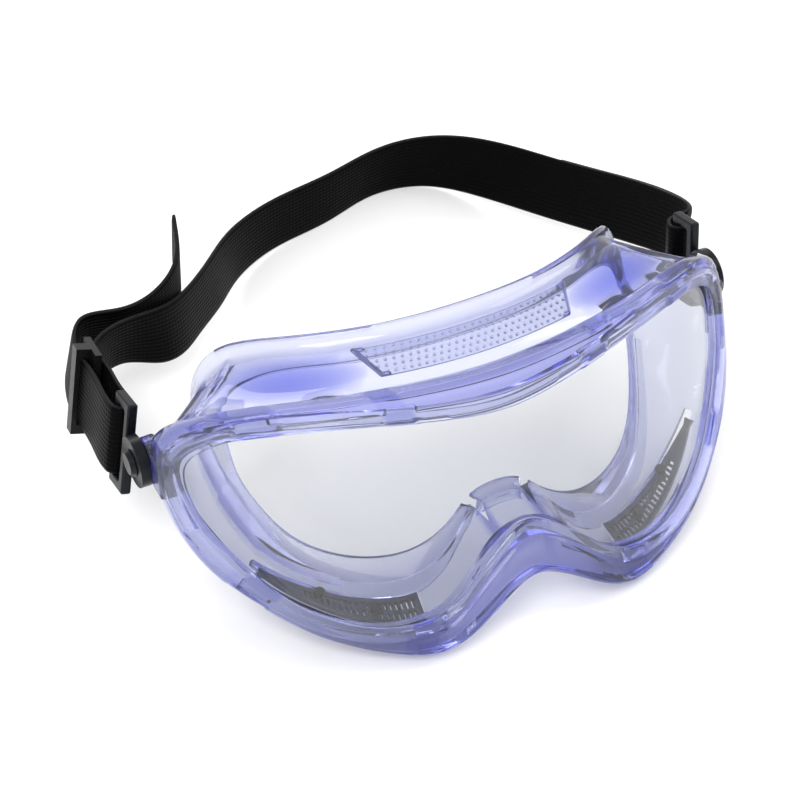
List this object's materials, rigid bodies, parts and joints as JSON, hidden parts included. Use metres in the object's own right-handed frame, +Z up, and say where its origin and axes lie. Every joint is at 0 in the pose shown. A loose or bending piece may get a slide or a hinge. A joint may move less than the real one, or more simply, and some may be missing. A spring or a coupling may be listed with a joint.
{
  "type": "safety goggles",
  "caption": "Soft clear goggles with a curved one-piece lens, pinned top vent, lower vents, and an elastic strap on pivoting side clips.",
  "frame": {"origin": "on the table under the object, on the mask's mid-plane, a little behind the middle of its depth", "axes": "+X to the right seen from the front of the mask, +Y back from the lens to the strap, +Z up; the mask leans back 24.5 degrees from upright"},
  "size_m": [0.2054, 0.2026, 0.0805],
  "materials": {
    "frame": "glossy",
    "lens": "polished",
    "top_vent": "glossy",
    "lower_vent": "satin",
    "stud": "glossy",
    "pin": "glossy",
    "clip": "satin",
    "webbing": "matte",
    "slider": "satin"
  },
  "bodies": {
    "mask": {"frame": "frame", "lens": "lens", "top_vent": "top_vent", "lower_vent_left": "lower_vent", "lower_vent_right": "lower_vent", "vent_studs_left": "stud", "vent_studs_right": "stud", "pivot_pin_left": "pin", "pivot_pin_right": "pin"},
    "strap": {"clip_left": "clip", "clip_right": "clip", "strap": "webbing", "strap_fold_left": "webbing", "strap_fold_right": "webbing", "strap_sewn_end": "webbing", "strap_tail": "webbing"},
    "slider": {"slider": "slider"}
  },
  "joints": [
    {"name": "strap_hinge", "type": "hinge", "parent": "mask", "child": "strap", "pos_m": [0, -0.03385, 0.04631], "axis": [1, 0, 0], "range_deg": [0, 60]},
    {"name": "slider_slide", "type": "slide", "parent": "strap", "child": "slider", "axis": [-0.0674, -0.9613, 0.2672], "range_m": [0, 0.02]}
  ]
}
